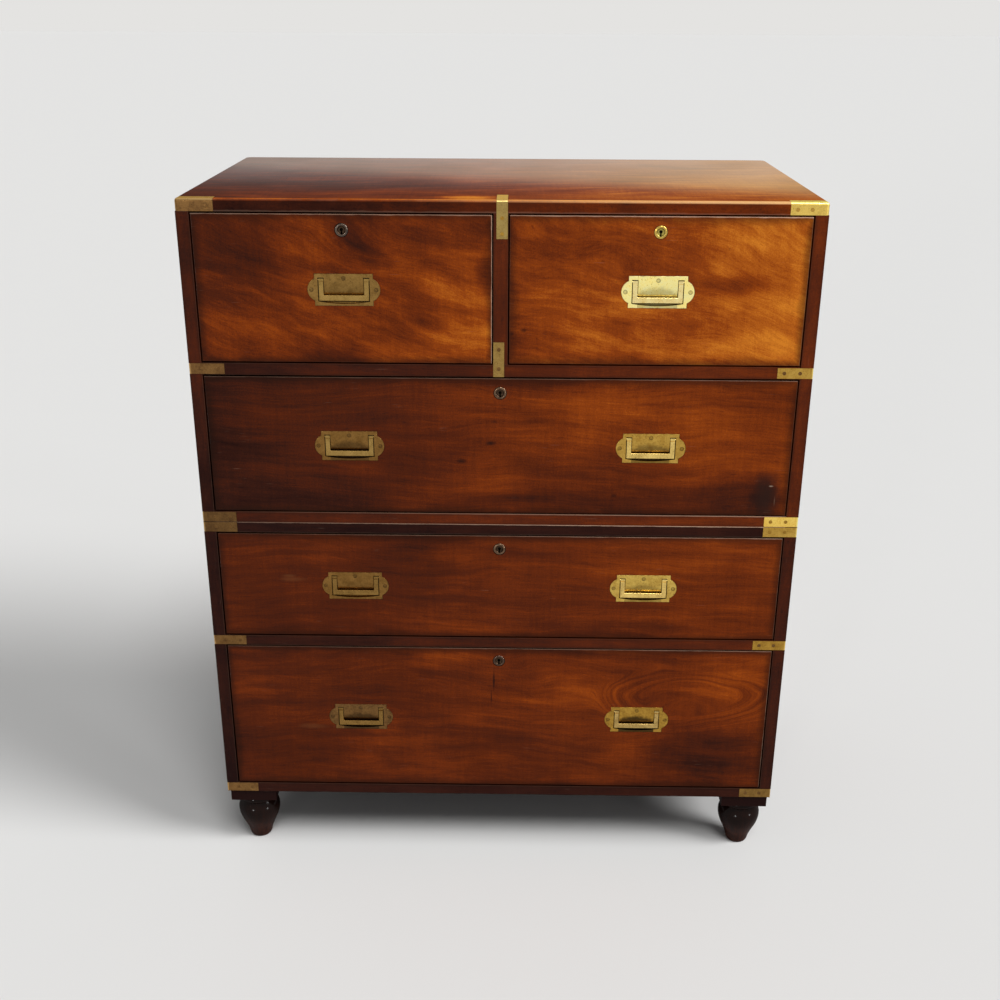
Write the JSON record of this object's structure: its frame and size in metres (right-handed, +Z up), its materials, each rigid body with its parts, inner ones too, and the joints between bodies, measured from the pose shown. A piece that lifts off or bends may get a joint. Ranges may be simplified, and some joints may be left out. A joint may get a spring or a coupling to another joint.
{
  "type": "campaign chest",
  "caption": "Mahogany campaign chest of drawers that parts into an upper and a lower half, with sunk brass handles, brass straps and corners, locks and turned feet.",
  "frame": {"origin": "on the floor under the middle of the case, at the bottom centre of the bounding box", "axes": "+Z up, the front with the drawers towards -Y, +X to the right of someone facing the front"},
  "size_m": [0.914, 0.495, 1.096],
  "materials": {
    "mahogany": "polished, figured mahogany",
    "carcase_wood": "polished, dark mahogany",
    "drawer_wood": "bare, planed",
    "foot_wood": "polished, ebonised",
    "brass": "worn polished brass",
    "lock_brass": "dull brass"
  },
  "bodies": {
    "lower_chest": {"lower_side_left": "carcase_wood", "lower_side_right": "carcase_wood", "lower_top": "carcase_wood", "lower_rail": "carcase_wood", "lower_bottom": "carcase_wood", "lower_back": "drawer_wood", "foot_front_left": "foot_wood", "foot_front_right": "foot_wood", "foot_back_left": "foot_wood", "foot_back_right": "foot_wood", "strap_split_lower_left": "brass", "strap_split_lower_right": "brass"},
    "upper_chest": {"upper_side_left": "carcase_wood", "upper_side_right": "carcase_wood", "upper_top": "mahogany", "upper_bottom": "carcase_wood", "upper_back": "drawer_wood", "upper_rail": "carcase_wood", "upper_divider": "carcase_wood", "corner_top_left": "brass", "corner_top_right": "brass", "strap_split_upper_left": "brass", "strap_split_upper_right": "brass", "strap_top_centre": "brass"},
    "short_drawer_left": {"short_drawer_left_front": "mahogany", "short_drawer_left_box": "drawer_wood", "short_drawer_left_lock": "lock_brass", "short_drawer_left_plate": "brass"},
    "short_drawer_right": {"short_drawer_right_front": "mahogany", "short_drawer_right_box": "drawer_wood", "short_drawer_right_lock": "lock_brass", "short_drawer_right_plate": "brass"},
    "long_drawer_upper": {"long_drawer_upper_front": "mahogany", "long_drawer_upper_box": "drawer_wood", "long_drawer_upper_lock": "lock_brass", "long_drawer_upper_plate_left": "brass", "long_drawer_upper_plate_right": "brass"},
    "long_drawer_middle": {"long_drawer_middle_front": "mahogany", "long_drawer_middle_box": "drawer_wood", "long_drawer_middle_lock": "lock_brass", "long_drawer_middle_plate_left": "brass", "long_drawer_middle_plate_right": "brass"},
    "long_drawer_lower": {"long_drawer_lower_front": "mahogany", "long_drawer_lower_box": "drawer_wood", "long_drawer_lower_lock": "lock_brass", "long_drawer_lower_plate_left": "brass", "long_drawer_lower_plate_right": "brass"},
    "short_drawer_left_bolt": {"short_drawer_left_bolt": "lock_brass"},
    "short_drawer_right_bolt": {"short_drawer_right_bolt": "lock_brass"},
    "long_drawer_upper_bolt": {"long_drawer_upper_bolt": "lock_brass"},
    "long_drawer_middle_bolt": {"long_drawer_middle_bolt": "lock_brass"},
    "long_drawer_lower_bolt": {"long_drawer_lower_bolt": "lock_brass"},
    "short_drawer_left_bail": {"short_drawer_left_bail": "brass"},
    "short_drawer_right_bail": {"short_drawer_right_bail": "brass"},
    "long_drawer_upper_bail_left": {"long_drawer_upper_bail_left": "brass"},
    "long_drawer_upper_bail_right": {"long_drawer_upper_bail_right": "brass"},
    "long_drawer_middle_bail_left": {"long_drawer_middle_bail_left": "brass"},
    "long_drawer_middle_bail_right": {"long_drawer_middle_bail_right": "brass"},
    "long_drawer_lower_bail_left": {"long_drawer_lower_bail_left": "brass"},
    "long_drawer_lower_bail_right": {"long_drawer_lower_bail_right": "brass"}
  },
  "joints": [
    {"name": "upper_chest_lift", "type": "slide", "parent": "lower_chest", "child": "upper_chest", "axis": [0, 0, 1], "range_m": [0, 0.06]},
    {"name": "short_drawer_left_slide", "type": "slide", "parent": "upper_chest", "child": "short_drawer_left", "axis": [0, -1, 0], "range_m": [0, 0.35]},
    {"name": "short_drawer_right_slide", "type": "slide", "parent": "upper_chest", "child": "short_drawer_right", "axis": [0, -1, 0], "range_m": [0, 0.35]},
    {"name": "long_drawer_upper_slide", "type": "slide", "parent": "upper_chest", "child": "long_drawer_upper", "axis": [0, -1, 0], "range_m": [0, 0.35]},
    {"name": "long_drawer_middle_slide", "type": "slide", "parent": "lower_chest", "child": "long_drawer_middle", "axis": [0, -1, 0], "range_m": [0, 0.35]},
    {"name": "long_drawer_lower_slide", "type": "slide", "parent": "lower_chest", "child": "long_drawer_lower", "axis": [0, -1, 0], "range_m": [0, 0.35]},
    {"name": "short_drawer_left_lock_throw", "type": "slide", "parent": "short_drawer_left", "child": "short_drawer_left_bolt", "axis": [0, 0, 1], "range_m": [0, 0.007]},
    {"name": "short_drawer_right_lock_throw", "type": "slide", "parent": "short_drawer_right", "child": "short_drawer_right_bolt", "axis": [0, 0, 1], "range_m": [0, 0.007]},
    {"name": "long_drawer_upper_lock_throw", "type": "slide", "parent": "long_drawer_upper", "child": "long_drawer_upper_bolt", "axis": [0, 0, 1], "range_m": [0, 0.007]},
    {"name": "long_drawer_middle_lock_throw", "type": "slide", "parent": "long_drawer_middle", "child": "long_drawer_middle_bolt", "axis": [0, 0, 1], "range_m": [0, 0.007]},
    {"name": "long_drawer_lower_lock_throw", "type": "slide", "parent": "long_drawer_lower", "child": "long_drawer_lower_bolt", "axis": [0, 0, 1], "range_m": [0, 0.007]},
    {"name": "short_drawer_left_bail_swing", "type": "hinge", "parent": "short_drawer_left", "child": "short_drawer_left_bail", "pos_m": [-0.2245, -0.2449, 0.9825], "axis": [-1, 0, 0], "range_deg": [0, 90]},
    {"name": "short_drawer_right_bail_swing", "type": "hinge", "parent": "short_drawer_right", "child": "short_drawer_right_bail", "pos_m": [0.2245, -0.2449, 0.9825], "axis": [-1, 0, 0], "range_deg": [0, 90]},
    {"name": "long_drawer_upper_bail_left_swing", "type": "hinge", "parent": "long_drawer_upper", "child": "long_drawer_upper_bail_left", "pos_m": [-0.226, -0.2449, 0.746], "axis": [-1, 0, 0], "range_deg": [0, 90]},
    {"name": "long_drawer_upper_bail_right_swing", "type": "hinge", "parent": "long_drawer_upper", "child": "long_drawer_upper_bail_right", "pos_m": [0.226, -0.2449, 0.746], "axis": [-1, 0, 0], "range_deg": [0, 90]},
    {"name": "long_drawer_middle_bail_left_swing", "type": "hinge", "parent": "long_drawer_middle", "child": "long_drawer_middle_bail_left", "pos_m": [-0.226, -0.2449, 0.513], "axis": [-1, 0, 0], "range_deg": [0, 90]},
    {"name": "long_drawer_middle_bail_right_swing", "type": "hinge", "parent": "long_drawer_middle", "child": "long_drawer_middle_bail_right", "pos_m": [0.226, -0.2449, 0.513], "axis": [-1, 0, 0], "range_deg": [0, 90]},
    {"name": "long_drawer_lower_bail_left_swing", "type": "hinge", "parent": "long_drawer_lower", "child": "long_drawer_lower_bail_left", "pos_m": [-0.226, -0.2449, 0.2745], "axis": [-1, 0, 0], "range_deg": [0, 90]},
    {"name": "long_drawer_lower_bail_right_swing", "type": "hinge", "parent": "long_drawer_lower", "child": "long_drawer_lower_bail_right", "pos_m": [0.226, -0.2449, 0.2745], "axis": [-1, 0, 0], "range_deg": [0, 90]}
  ]
}
